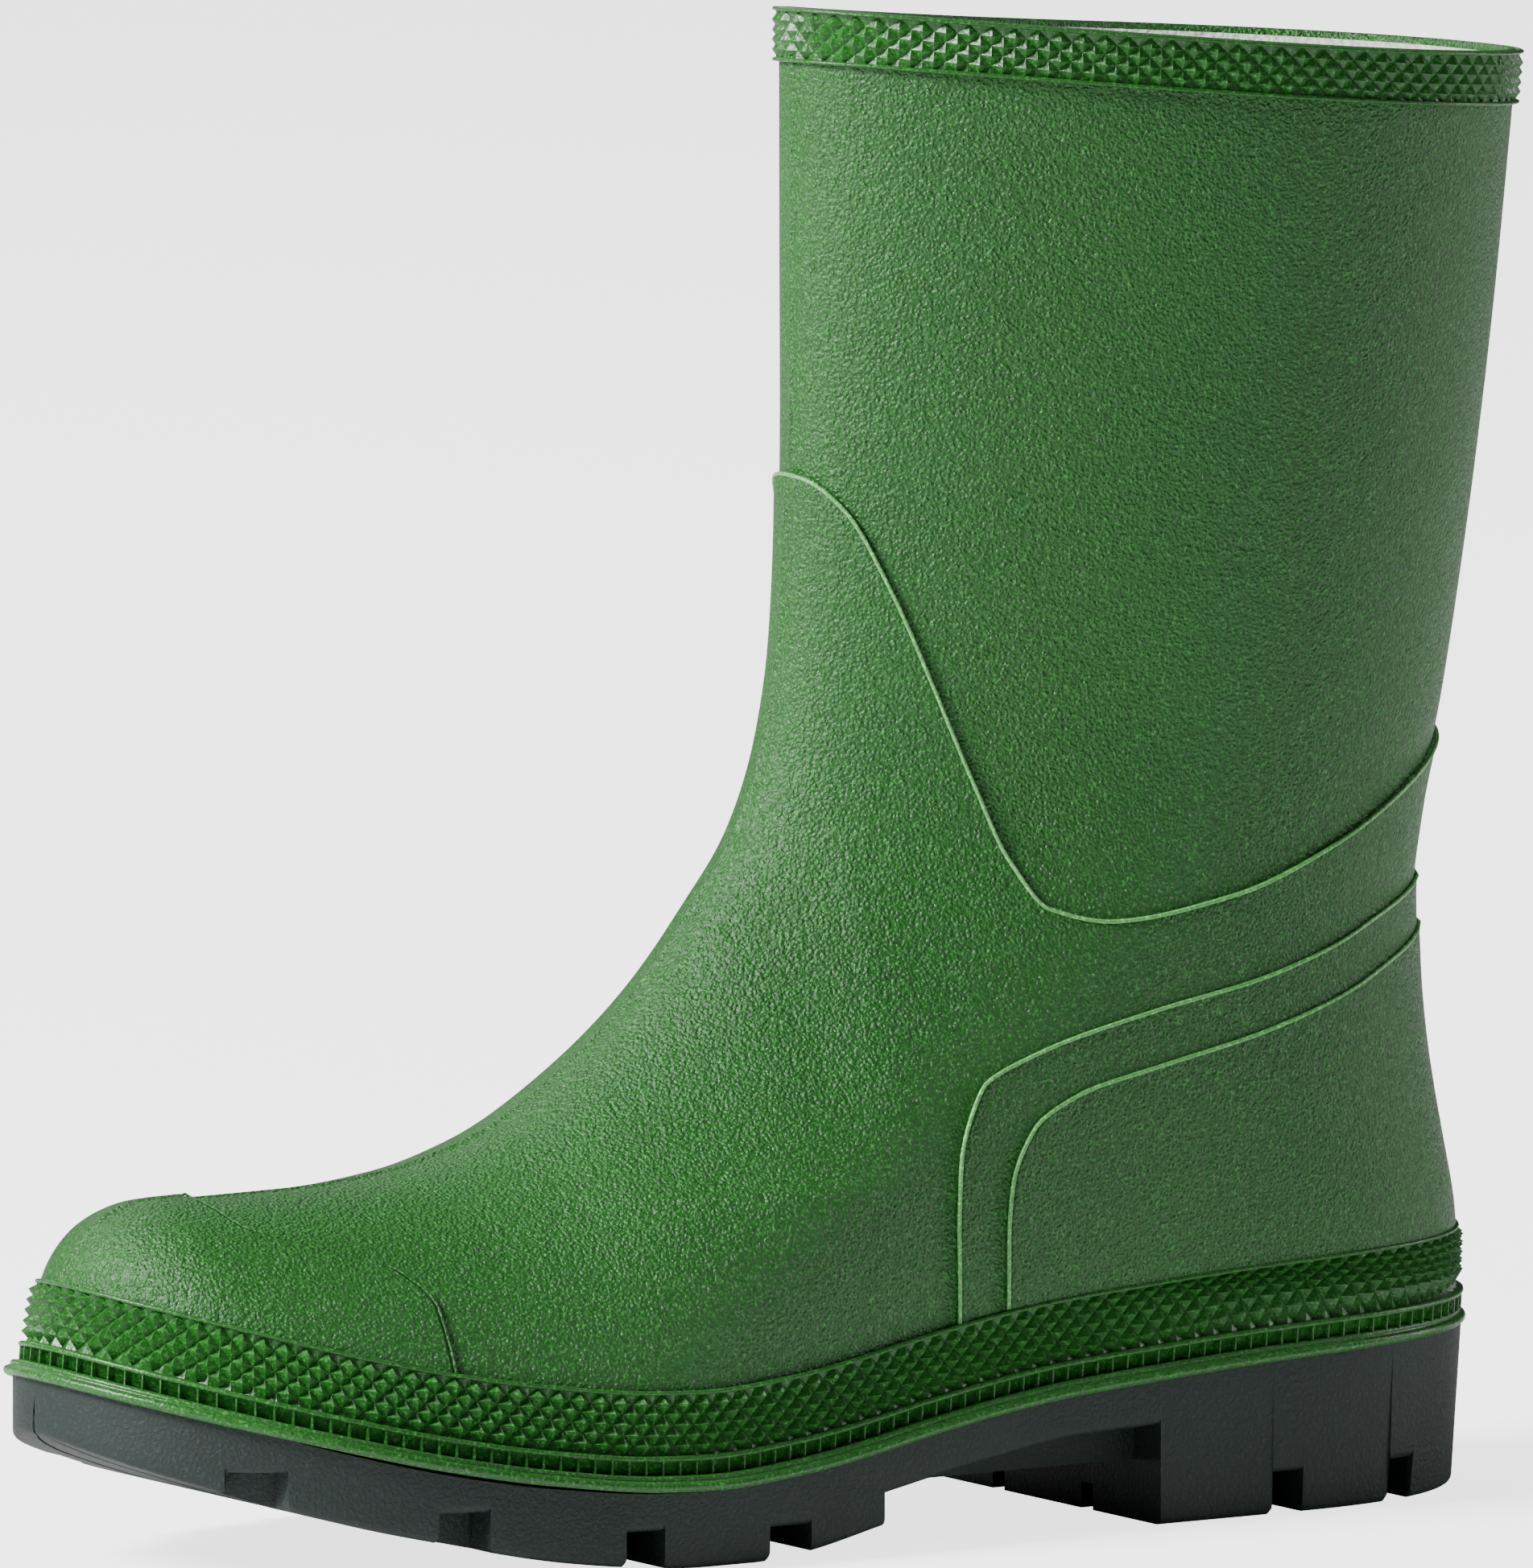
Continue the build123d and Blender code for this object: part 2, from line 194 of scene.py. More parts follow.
# On the foot, the instep's slope is carried on behind the shin, so that the foot widens evenly under the leg.
KEEP_SLOPE_FROM = 9.0
CARRIED_ON_UP_TO = (95, 150)
carried_on = curve([
    (KEEP_SLOPE_FROM, 150), (13.6, 168), (20, 186), (40, 230), (70, 305), (100, 390), (140, 520), (175, 700),
])


def front_x(z):
    return np.interp(z, front_line[1], front_line[0])


def back_x(z):
    return np.interp(z, back_line[1], back_line[0])


def top_z(x):
    return np.interp(x, rising_line[0], rising_line[1])


def nose(depth, reach, power):
    """How far a section has widened at this depth behind its nose, from 0 to 1. Full width has no crease."""
    left = 1 - np.clip(depth / reach, 0, None)
    left = (left + np.sqrt(left ** 2 + NOSE_EASE ** 2)) / (1 + math.sqrt(1 + NOSE_EASE ** 2))
    return np.sqrt(np.clip(1 - left ** power, 0, None))


def centre_line(x):
    return SWING * np.clip((SWING_START_X - x) / SWING_LENGTH, 0, SWING_LIMIT) ** SWING_POWER


def half_width(x, z, outer):
    """Half the boot's width at a point of the side view."""
    leg = blend(*ROUNDNESS_TO_LEG, z)
    behind = np.maximum(x - front_x(z), 0)
    foot_top = np.where(x < KEEP_SLOPE_FROM, top_z(x), carried_on(x))
    below = np.maximum(foot_top + (top_z(x) - foot_top) * blend(*CARRIED_ON_UP_TO, z) - z, 0)
    depth = behind * below / np.maximum(np.hypot(behind, below), 1e-9)
    foot = np.where(outer, outer_half(x), inner_half(x))
    middle = foot + (leg_half(z) - foot) * blend(*WIDTH_TO_LEG, z)
    front_reach = FRONT_REACH + FRONT_REACH_ADDED_ON_LEG * leg
    front_nose = nose(depth, front_reach, FRONT_POWER - FRONT_POWER_LOST_ON_LEG * leg)
    back_nose = nose(back_x(z) - x, BACK_REACH + BACK_REACH_ADDED_ON_LEG * leg, BACK_POWER)
    return middle * front_nose * back_nose


def side_view(turn, level):
    """X and Z of a point on the form. turn goes round from the front by the outer side."""
    ends = [end(level) for end in section_ends]
    along = (1 - np.cos(turn)) / 2
    return ends[0] + (ends[2] - ends[0]) * along, ends[1] + (ends[3] - ends[1]) * along


def on_form(turn, level):
    x, z = side_view(turn, level)
    outer = np.sin(turn) > 0
    half = half_width(x, z, outer)
    return np.stack([x, centre_line(x) + np.where(outer, -half, half), z], -1)


def normals(turn, level):
    """Unit vectors square to the form, outwards."""
    small = 1e-3
    across = on_form(turn + small, level) - on_form(turn - small, level)
    up = on_form(turn, np.minimum(level + small, LAST)) - on_form(turn, np.maximum(level - small, 0))
    square = np.cross(across, up)
    square = square / np.maximum(np.linalg.norm(square, axis=-1, keepdims=True), 1e-12)
    return square


def raised(turn, level, distance):
    """Points at a distance outwards from the form."""
    return on_form(turn, level) + normals(turn, level) * np.asarray(distance)[..., None]


LEVELS = np.linspace(0, LAST, 1200)


def first_level(turn, passed):
    """For each turn, the level where passed(x, z) first becomes positive."""
    turn = np.asarray(turn, float)
    x, z = side_view(turn[..., None], LEVELS)
    score = passed(x, z)
    hit = np.argmax(score > 0, axis=-1)
    hit = np.where(np.any(score > 0, axis=-1), np.maximum(hit, 1), len(LEVELS) - 1)
    after = np.take_along_axis(score, hit[..., None], -1)[..., 0]
    before = np.take_along_axis(score, hit[..., None] - 1, -1)[..., 0]
    part = np.clip(before / np.where(before == after, 1, before - after), 0, 1)
    return LEVELS[hit - 1] + part * (LEVELS[1] - LEVELS[0])


def at_height(turn, height):
    """The level that is this far above the top of the sole."""
    return first_level(turn, lambda x, z: z - sole_top(x) - height)


def rim_z(x):
    back = (x - RIM_FRONT_X) / RIM_LENGTH
    return RIM_FRONT_HEIGHT - RIM_FALL * back - RIM_SAG * np.sin(np.pi * np.clip(back, 0, 1))


def below_rim(turn, drop):
    """The level this far below the rim, which leans down towards the inner side."""
    lean = RIM_LEAN * (1 - np.sin(np.asarray(turn, float)))[..., None] / 2
    return first_level(turn, lambda x, z: z - rim_z(x) + drop + lean)


def even_turns(count, height=None, start=0.0):
    """Turns evenly spaced by length round the boot at a height above the sole, or below the rim."""
    fine = np.linspace(0, 2 * math.pi, 4001)
    level = below_rim(fine, 5) if height is None else at_height(fine, height)
    path = on_form(fine, level)
    run = np.concatenate([[0], np.cumsum(np.linalg.norm(np.diff(path, axis=0), axis=1))])
    return np.interp((np.arange(count) + start) / count * run[-1], run, fine), run[-1]


# --- Making pieces -----------------------------------------------------------------------------------------


def to_frame(points):
    return (np.asarray(points, float).reshape(-1, 3) + SHIFT) / 1000


def add_piece(name, points, faces, material, node, smooth=True):
    """A mesh piece of the boot, in place, standing for a CAD node."""
    mesh = bpy.data.meshes.new(name)
    mesh.from_pydata([tuple(p) for p in to_frame(points)], [], [tuple(map(int, f)) for f in faces])
    mesh.validate()
    mesh.update()
    if smooth:
        mesh.polygons.foreach_set("use_smooth", [True] * len(mesh.polygons))
    piece = bpy.data.objects.new(name, mesh)
    bpy.context.scene.collection.objects.link(piece)
    mesh.materials.append(material)
    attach(piece, "root")
    if node:
        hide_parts(node)
    return piece


def grid_faces(rows, columns, closed_rows=False, closed_columns=False):
    """Quads over a grid of points in row order."""
    r = np.arange(rows if closed_rows else rows - 1)
    c = np.arange(columns if closed_columns else columns - 1)
    r, c = np.meshgrid(r, c, indexing="ij")
    right = (c + 1) % columns
    up = (r + 1) % rows
    quads = [r * columns + c, r * columns + right, up * columns + right, up * columns + c]
    return np.stack(quads, -1).reshape(-1, 4)


def closed_sheet(top, bottom):
    """Points and faces of a solid between two grids of points."""
    rows, columns = top.shape[:2]
    count = rows * columns
    quads = grid_faces(rows, columns)
    grid = np.arange(count).reshape(rows, columns)
    border = np.concatenate([grid[0], grid[1:, -1], grid[-1, -2::-1], grid[-2:0:-1, 0]])
    after = np.roll(border, -1)
    sides = np.stack([border, after, after + count, border + count], -1)
    return np.concatenate([top.reshape(-1, 3), bottom.reshape(-1, 3)]), np.concatenate(
        [quads[:, ::-1], quads + count, sides]
    )


def ring(name, turn, profile, material, node):
    """A band all round the boot. profile is rows of (level for each turn, distance), closed on itself."""
    rows = [raised(turn, level, np.broadcast_to(distance, turn.shape)) for level, distance in profile]
    points = np.stack(rows)
    faces = grid_faces(len(rows), len(turn), True, True)
    return add_piece(name, points, faces[:, ::-1], material, node)


def tube(name, path, radius, material, node, closed=False):
    """A thin round cord along a path of points."""
    if closed:
        ahead = np.roll(path, -1, axis=0) - np.roll(path, 1, axis=0)
    else:
        ahead = np.gradient(path, axis=0)
    ahead = ahead / np.maximum(np.linalg.norm(ahead, axis=1, keepdims=True), 1e-9)
    side = np.cross(ahead, [0.31, 0.2, 0.93])
    side = side / np.linalg.norm(side, axis=1, keepdims=True)
    up = np.cross(side, ahead)
    angles = np.arange(8) * math.pi / 4
    points = np.stack([path + radius * (math.cos(a) * side + math.sin(a) * up) for a in angles])
    faces = [tuple(f) for f in grid_faces(8, len(path), True, closed)[:, ::-1]]
    if not closed:
        faces.append(tuple(k * len(path) for k in range(8)))
        faces.append(tuple(k * len(path) + len(path) - 1 for k in range(7, -1, -1)))
    add_piece(name, points, faces, material, node)


def mark_sharp(piece, degrees):
    """Edges sharper than this stay sharp in a smooth piece."""
    mesh = piece.data
    mesh.set_sharp_from_angle(angle=math.radians(degrees))


def edge_round(distance, radius):
    """The height of a rounded edge, from 0 at the edge to 1."""
    return np.sqrt(np.clip(1 - (1 - np.clip(distance / radius, 0, 1)) ** 2, 0, 1))


# --- Materials ---------------------------------------------------------------------------------------------


def new_material(name, colour, roughness):
    material = bpy.data.materials.new(name)
    material.use_nodes = True
    nodes = material.node_tree.nodes
    shader = nodes["Principled BSDF"]
    shader.inputs["Base Color"].default_value = (*colour, 1)
    shader.inputs["Roughness"].default_value = roughness
    return material, nodes, material.node_tree.links, shader


def noise(nodes, links, scale, detail=2.0, distortion=0.0):
    place = nodes.new("ShaderNodeTexCoord")
    texture = nodes.new("ShaderNodeTexNoise")
    texture.inputs["Scale"].default_value = scale
    texture.inputs["Detail"].default_value = detail
    texture.inputs["Distortion"].default_value = distortion
    links.new(place.outputs["Object"], texture.inputs["Vector"])
    return texture


def spread(nodes, links, source, low, high, to_low=0.0, to_high=1.0):
    part = nodes.new("ShaderNodeMapRange")
    part.inputs["From Min"].default_value = low
    part.inputs["From Max"].default_value = high
    part.inputs["To Min"].default_value = to_low
    part.inputs["To Max"].default_value = to_high
    links.new(source, part.inputs["Value"])
    return part.outputs["Result"]


def mix_colours(nodes, links, factor, first, second):
    mix = nodes.new("ShaderNodeMix")
    mix.data_type = "RGBA"
    links.new(factor, mix.inputs["Factor"])
    for socket, colour in ((mix.inputs[6], first), (mix.inputs[7], second)):
        if hasattr(colour, "links"):
            links.new(colour, socket)
        else:
            socket.default_value = (*colour, 1)
    return mix.outputs[2]


def bump(nodes, links, shader, heights):
    """Chained bumps: (height output, strength, distance in metres)."""
    last = None
    for height, strength, distance in heights:
        node = nodes.new("ShaderNodeBump")
        node.inputs["Strength"].default_value = strength
        node.inputs["Distance"].default_value = distance
        links.new(height, node.inputs["Height"])
        if last:
            links.new(last, node.inputs["Normal"])
        last = node.outputs["Normal"]
    links.new(last, shader.inputs["Normal"])


def green_rubber(name, dark, light, grain, gloss):
    """Green rubber: a pebbled grain of about 0.8 mm, whose glossier high spots are painted paler as
    highlights, with painted shade darkening its pits.
    """
    material, nodes, links, shader = new_material(name, light, gloss)
    place = nodes.new("ShaderNodeTexCoord")
    pebbles = nodes.new("ShaderNodeTexVoronoi")
    pebbles.inputs["Scale"].default_value = 1250.0
    links.new(place.outputs["Object"], pebbles.inputs["Vector"])
    fine = noise(nodes, links, 1700.0, 2.0)
    coarse = noise(nodes, links, 700.0, 2.0)
    broad = noise(nodes, links, 14.0, 2.0)
    tone = spread(nodes, links, broad.outputs["Fac"], 0.30, 0.70)
    colour = mix_colours(nodes, links, tone, dark, light)
    # Painted shade: the grain's pits, where the fine noise that also sets the bump's height is low, are
    # darkened.
    pit_painted_shade = spread(nodes, links, fine.outputs["Fac"], 0.30, 0.50, 0.55, 0.0)
    colour = mix_colours(nodes, links, pit_painted_shade, colour, tuple(c * 0.45 for c in dark))
    # Painted highlight: the grain's high spots, where the same fine noise is high, are painted a much paler
    # green as glints.
    painted_glint = spread(nodes, links, fine.outputs["Fac"], 0.56, 0.70, 0.0, 0.75)
    colour = mix_colours(nodes, links, painted_glint, colour, tuple(min(c * 2.3 + 0.02, 1) for c in light))
    links.new(colour, shader.inputs["Base Color"])
    rough = spread(nodes, links, coarse.outputs["Fac"], 0.35, 0.65, gloss - 0.08, gloss + 0.10)
    links.new(rough, shader.inputs["Roughness"])
    height = spread(nodes, links, pebbles.outputs["Distance"], 0.0, 0.7, 1.0, 0.0)
    bump(nodes, links, shader, [
        (height, grain, 0.00045), (fine.outputs["Fac"], grain, 0.00080),
        (coarse.outputs["Fac"], grain * 0.6, 0.0011),
    ])
    return material


def black_rubber():
    """Sole rubber: almost black with a cold tint, and a fine matt grain whose high spots are painted paler as
    highlights.
    """
    material, nodes, links, shader = new_material("sole_rubber", (0.018, 0.024, 0.026), 0.62)
    fine = noise(nodes, links, 1300.0, 4.0)
    broad = noise(nodes, links, 40.0, 3.0)
    tone = spread(nodes, links, broad.outputs["Fac"], 0.3, 0.7)
    colour = mix_colours(nodes, links, tone, (0.0045, 0.012, 0.010), (0.009, 0.020, 0.017))
    # Painted highlight: the grain's high spots, where the fine noise that drives the bump is high, are
    # painted paler as glints.
    painted_glint = spread(nodes, links, fine.outputs["Fac"], 0.55, 0.75, 0.0, 0.7)
    colour = mix_colours(nodes, links, painted_glint, colour, (0.035, 0.055, 0.052))
    links.new(colour, shader.inputs["Base Color"])
    rough = spread(nodes, links, fine.outputs["Fac"], 0.3, 0.7, 0.5, 0.72)
    links.new(rough, shader.inputs["Roughness"])
    bump(nodes, links, shader, [(fine.outputs["Fac"], 0.7, 0.0004)])
    return material


def knit():
    """White knitted cotton: fine wales and courses, with painted shade darkening the hollows between the
    loops.
    """
    material, nodes, links, shader = new_material("knit_cotton", (0.80, 0.80, 0.77), 0.9)
    fine = noise(nodes, links, 900.0, 4.0)
    loops = nodes.new("ShaderNodeTexVoronoi")
    loops.inputs["Scale"].default_value = 750.0
    place = nodes.new("ShaderNodeTexCoord")
    links.new(place.outputs["Object"], loops.inputs["Vector"])
    # Painted shade: greyer where the loops' height falls away, in the hollows between them.
    loop_painted_shade = spread(nodes, links, loops.outputs["Distance"], 0.1, 0.8)
    colour = mix_colours(nodes, links, loop_painted_shade, (0.86, 0.86, 0.83), (0.58, 0.58, 0.55))
    links.new(colour, shader.inputs["Base Color"])
    height = spread(nodes, links, loops.outputs["Distance"], 0.0, 0.8, 1.0, 0.0)
    bump(nodes, links, shader, [(height, 0.8, 0.0005), (fine.outputs["Fac"], 0.5, 0.0003)])
    shader.inputs["Sheen Weight"].default_value = 0.3
    return material


def plain(name, first, second, roughness, scale, metallic=0.0):
    """A simple hidden material with a mottled colour and a light grain."""
    material, nodes, links, shader = new_material(name, first, roughness)
    mottle = noise(nodes, links, scale, 4.0)
    tone = spread(nodes, links, mottle.outputs["Fac"], 0.3, 0.7)
    links.new(mix_colours(nodes, links, tone, first, second), shader.inputs["Base Color"])
    bump(nodes, links, shader, [(mottle.outputs["Fac"], 0.5, 0.0003)])
    shader.inputs["Metallic"].default_value = metallic
    return material


GREEN_DARK = (0.011, 0.098, 0.010)
GREEN_LIGHT = (0.016, 0.124, 0.014)
shell_rubber = green_rubber("shell_rubber", GREEN_DARK, GREEN_LIGHT, 0.55, 0.42)
panel_rubber = green_rubber("panel_rubber", GREEN_DARK, GREEN_LIGHT, 0.50, 0.44)
trim_rubber = green_rubber("trim_rubber", (0.014, 0.100, 0.013), (0.024, 0.145, 0.020), 0.12, 0.34)
# A much paler green for the beads along the ankle line and the heel panels' edges: painted highlight lines.
edge_highlight_rubber = green_rubber("edge_highlight_rubber", (0.12, 0.40, 0.11), (0.16, 0.46, 0.14), 0.2, 0.32)
sole_rubber = black_rubber()
knit_cotton = knit()


# --- The upper ---------------------------------------------------------------------------------------------

# The height above the sole at which the turns are evenly spaced.
FOOT_GIRTH_AT = 12.0
# How deep the hidden backs of the panels and bands lie in the shell.
SINK = 0.4
# The height above the sole from which a panel's outline is followed, and the radius of the beads at edges.
PANEL_START = 16.0
EDGE_BEAD = 0.42
around, FOOT_RUN = even_turns(660, FOOT_GIRTH_AT)
around = np.unique(np.concatenate([around, np.linspace(-0.06, 0.06, 49) % (2 * math.pi)]))
PARTING_WIDTH = 0.8
PARTING_HEIGHT = 0.4


def rows_between(low, high, count, power=1.0):
    """Levels from low to high, as arrays over the turns."""
    return [low + (high - low) * (i / (count - 1)) ** power for i in range(count)]


def parting(turn, level):
    """The mould's parting line: a fine raised line down the front of the leg and over the toe."""
    y = on_form(turn, level)[..., 1] - centre_line(on_form(turn, level)[..., 0])
    return PARTING_HEIGHT * np.exp(-((y / PARTING_WIDTH) ** 2)) * (np.cos(turn) > 0)


def make_shell():
    ankle = first_level(around, lambda x, z: z - ankle_edge(x))
    rim = below_rim(around, 0)
    sole = at_height(around, 0)
    outside = rows_between(sole, ankle - 0.1, 12) + rows_between(ankle, rim - 0.02, 90)
    profile = [(level, parting(around, level)) for level in outside]
    profile += [(rim, -0.5), (rim, -SHELL_WALL + 0.5)]
    profile += [(level, -SHELL_WALL) for level in rows_between(rim - 0.02, sole, 30)]
    ring("upper_shell_visible", around, profile, shell_rubber, "upper_shell")


def make_overlay():
    """The ankle and vamp panel, with a rounded top edge along the ankle line."""
    edge = first_level(around, lambda x, z: z - ankle_edge(x))
    low = at_height(around, 1.0)
    drops = [0.0, 0.012, 0.03, 0.06, 0.10, 0.16]
    outside = rows_between(low, edge - drops[-1], 110)
    profile = [(low, -SINK)] + [(level, OVERLAY + parting(around, level)) for level in outside]
    rounded = [0.99, 0.95, 0.86, 0.66, 0.0]
    for drop, share in zip(drops[-2::-1], rounded):
        profile.append((edge - drop, OVERLAY * share + 0.02))
    profile += [(level, -SINK) for level in rows_between(edge, low, 25)[:-1]]
    ring("ankle_overlay_visible", around, profile, panel_rubber, "ankle_overlay")
    # The bead is coloured the paler green of a painted highlight line along the ankle edge.
    path = raised(around, edge - 0.03, np.full(around.shape, OVERLAY - 0.05))
    tube("ankle_edge_bead", path, EDGE_BEAD, edge_highlight_rubber, "ankle_overlay", closed=True)


def panel_rows(edge_points, at_toe, rows):
    """The levels of a panel's rows, and how far each reaches round to both sides."""
    edge_x = curve(sorted((z, x) for x, z in edge_points))
    turn = np.linspace(1e-4, math.pi - 1e-4, 1500)
    levels = []
    reaches = []
    for level in np.linspace(float(np.min(at_height(turn, PANEL_START))), LAST, 900):
        x, z = side_view(turn, level)
        inside = edge_x(z) - x if at_toe else x - edge_x(z)
        found = np.flatnonzero(inside > 0)
        if len(found) == 0:
            if levels:
                break
            continue
        i = int(found[-1]) if at_toe else int(found[0])
        j = min(i + 1, len(turn) - 1) if at_toe else max(i - 1, 0)
        part = inside[j] / (inside[j] - inside[i]) if inside[j] != inside[i] else 0
        crossing = turn[j] + (turn[i] - turn[j]) * part
        levels.append(level)
        reaches.append(crossing if at_toe else math.pi - crossing)
    row_levels = levels[0] + (levels[-1] - levels[0]) * np.linspace(0, 1, rows) ** 0.9
    return row_levels, np.maximum(np.interp(row_levels, levels, reaches), 1e-3)


def make_panel(node, edge_points, at_toe, distance, columns, rows, bead_radius, bead_material):
    """A raised panel round the heel or over the toe, with a rounded edge and a fine bead along it.

    Each row crosses from one side's edge to the other's. Under the foxing the panel sinks into the shell."""
    row_levels, reaches = panel_rows(edge_points, at_toe, rows)
    quarter = math.pi / 2 * 0.98
    across = np.sin(np.linspace(-quarter, quarter, columns)) / math.sin(quarter)
    level = np.broadcast_to(row_levels[:, None], (rows, columns))
    turn = (0.0 if at_toe else math.pi) + across[None, :] * reaches[:, None]
    turn = np.where(turn < 0, turn + 2 * math.pi, turn)
    base = on_form(turn, level)
    run = np.cumsum(np.linalg.norm(np.diff(base, axis=1), axis=2), axis=1)
    run = np.concatenate([np.zeros((rows, 1)), run], axis=1)
    to_side = np.minimum(run, run[:, -1:] - run)
    rise = np.linalg.norm(np.diff(base, axis=0), axis=2)
    to_top = np.concatenate([np.cumsum(rise[::-1], axis=0)[::-1], np.zeros((1, columns))], axis=0)
    height = distance * edge_round(np.minimum(to_side, to_top), 1.0) + parting(turn, level)
    over_foxing = base[..., 2] - sole_top(base[..., 0]) - FOXING_TOP
    height = -0.3 + (height + 0.3) * blend(-1.4, -0.6, over_foxing)
    top = raised(turn, level, height)
    points, faces = closed_sheet(top, raised(turn, level, np.full(turn.shape, -SINK)))
    add_piece(node + "_visible", points, faces, panel_rubber, node)
    path = around_grid(top) + around_grid(normals(turn, level)) * (distance - 0.1)
    path = path[path[:, 2] - sole_top(path[:, 0]) > FOXING_TOP - 0.6]
    tube(node + "_edge_bead", path, bead_radius, bead_material, node)


def around_grid(grid):
    """A grid's first column upwards, some of its last row, and its last column downwards."""
    return np.concatenate([grid[:, 0], grid[-1, 1:-1:20], grid[::-1, -1]])


make_shell()
make_overlay()
# The heel panels' beads take the paler green that paints a highlight line along their edges; the toe cap's
# bead stays plain panel green.
make_panel("heel_band", HEEL_BAND_EDGE, False, HEEL_BAND, 340, 120, EDGE_BEAD, edge_highlight_rubber)
make_panel("heel_counter", HEEL_COUNTER_EDGE, False, HEEL_COUNTER, 320, 110, EDGE_BEAD, edge_highlight_rubber)
make_panel("toe_cap", TOE_CAP_EDGE, True, TOE_CAP, 300, 110, 0.28, panel_rubber)


# --- The textured bands, ribs and welt ---------------------------------------------------------------------


def pyramids(name, node, low, high, lines, pitch, height, base, back, girth_at):
    """A band of staggered pyramids on diamond bases, with a plain closed back.

    low and high give the level at the band's edges for any turns. lines counts the steps between its edges.
    girth_at is the height at which the band's pyramids are evenly spaced, or None for the rim."""
    girth = even_turns(4, girth_at)[1]
    sides = 2 * int(round(girth / pitch))
    turns = even_turns(sides, girth_at)[0]
    low_level = low(turns)
    high_level = high(turns)
    spots = []
    faces = []

    def place(i, line, distance):
        spots.append((turns[i], low_level[i] + (high_level[i] - low_level[i]) * (line / lines), distance))
        return len(spots) - 1

    corner = {}
    for line in range(lines + 1):
        for i in range(line % 2, sides, 2):
            corner[i, line] = place(i, line, base)
    for line in range(lines + 1):
        for i in range((line + 1) % 2, sides, 2):
            left = corner[(i - 1) % sides, line]
            right = corner[(i + 1) % sides, line]
            apex = place(i, line, height if 0 < line < lines else (height + base) / 2)
            if line > 0:
                down = corner[i, line - 1]
                faces += [(left, down, apex), (down, right, apex)]
            if line < lines:
                up = corner[i, line + 1]
                faces += [(right, up, apex), (up, left, apex)]
            corner[i, line, "apex"] = apex
    points = list(raised(*(np.array(column) for column in zip(*spots))))
    back_starts = []
    for line, level in ((0, low_level), (lines, high_level)):
        edge = [corner[i, line] if (i + line) % 2 == 0 else corner[i, line, "apex"] for i in range(sides)]
        start = len(points)
        back_starts.append(start)
        points += list(raised(turns, level, np.full(sides, back)))
        for i in range(sides):
            j = (i + 1) % sides
            quad = (edge[i], edge[j], start + j, start + i)
            faces.append(quad[::-1] if line == 0 else quad)
    below, above = back_starts
    for i in range(sides):
        j = (i + 1) % sides
        faces.append((below + i, above + i, above + j, below + j))
    add_piece(name, np.array(points), faces, trim_rubber, node, smooth=False)


def foxing_low(turn):
    return at_height(turn, RIB_TOP + 0.5)


def foxing_high(turn):
    return at_height(turn, FOXING_TOP - 0.4)


def rim_low(turn):
    return below_rim(turn, RIM_BAND_HEIGHT - 0.3)


def rim_high(turn):
    return below_rim(turn, 0.6)


pyramids(
    "foxing_band_visible", "foxing_band", foxing_low, foxing_high, lines=6, pitch=4.15, height=3.5, base=1.5,
    back=-SINK, girth_at=FOOT_GIRTH_AT,
)
pyramids(
    "rim_band_visible", "rim_band", rim_low, rim_high, lines=5, pitch=4.3, height=1.35, base=0.15,
    back=-SINK, girth_at=None,
)


# The welt and the sole draw in towards the heel between these X.
DRAW_IN = (40, 150)


def ledge(name, node, rows, material, less_at_heel=0.0):
    """A moulding all round the boot. rows are (height above the sole, distance outwards)."""
    drawn_in = less_at_heel * blend(*DRAW_IN, side_view(around, at_height(around, 0.0))[0])
    profile = [(at_height(around, height), distance - drawn_in * (distance > 3)) for height, distance in rows]
    return ring(name, around, profile, material, node)


def round_bead(name, node, level_of, middle, height_radius, distance, width_radius):
    """A round bead all round the boot. level_of turns a height, or a depth below the rim, into a level."""
    profile = []
    for k in range(10):
        angle = 2 * math.pi * k / 10
        level = level_of(around, middle + height_radius * math.sin(angle))
        profile.append((level, distance + width_radius * math.cos(angle)))
    ring(name, around, profile, trim_rubber, node)


# The rib strip's fins: the distance between two, half of one's thickness, and how far it stands out.
FIN_PITCH = 3.45
FIN_HALF = 0.3
FIN_OUT = 1.5


def make_rib_strip():
    """The channel under the foxing: a thin ledge above, a recess, and upright fins across it."""
    rows = [
        (RIB_TOP + 0.55, 0.6), (RIB_TOP + 0.55, 3.3), (RIB_TOP + 0.35, 3.7), (RIB_TOP - 0.1, 3.8),
        (RIB_TOP - 0.45, 3.6), (RIB_TOP - 0.55, 2.4), (WELT_TOP, 2.3), (WELT_TOP - 0.6, 0.6),
    ]
    ledge("rib_strip_visible", "rib_strip", rows, trim_rubber)
    count = int(round(FOOT_RUN / FIN_PITCH))
    turns = even_turns(count, 4.0)[0]
    low = at_height(turns, WELT_TOP - 0.3)
    high = at_height(turns, RIB_TOP - 0.3)
    points = []
    faces = []
    for i in range(count):
        middle_low, middle_high = (raised(turns[i], level, d) for level, d in ((low[i], 2.0), (high[i], 2.0)))
        out = normals(turns[i], (low[i] + high[i]) / 2)
        ahead = on_form(turns[i] + 1e-3, low[i]) - on_form(turns[i] - 1e-3, low[i])
        ahead = ahead / np.linalg.norm(ahead) * FIN_HALF
        start = len(points)
        for corner in (middle_low, middle_high):
            points += [corner - ahead, corner + ahead]
            points += [corner + ahead * 0.5 + out * FIN_OUT, corner - ahead * 0.5 + out * FIN_OUT]
        faces += [(start, start + 1, start + 2, start + 3), (start + 7, start + 6, start + 5, start + 4)]
        for a, b in ((0, 1), (1, 2), (2, 3), (3, 0)):
            faces.append((start + a, start + 4 + a, start + 4 + b, start + b))
    add_piece("rib_fins", points, faces, trim_rubber, "rib_strip", smooth=False)


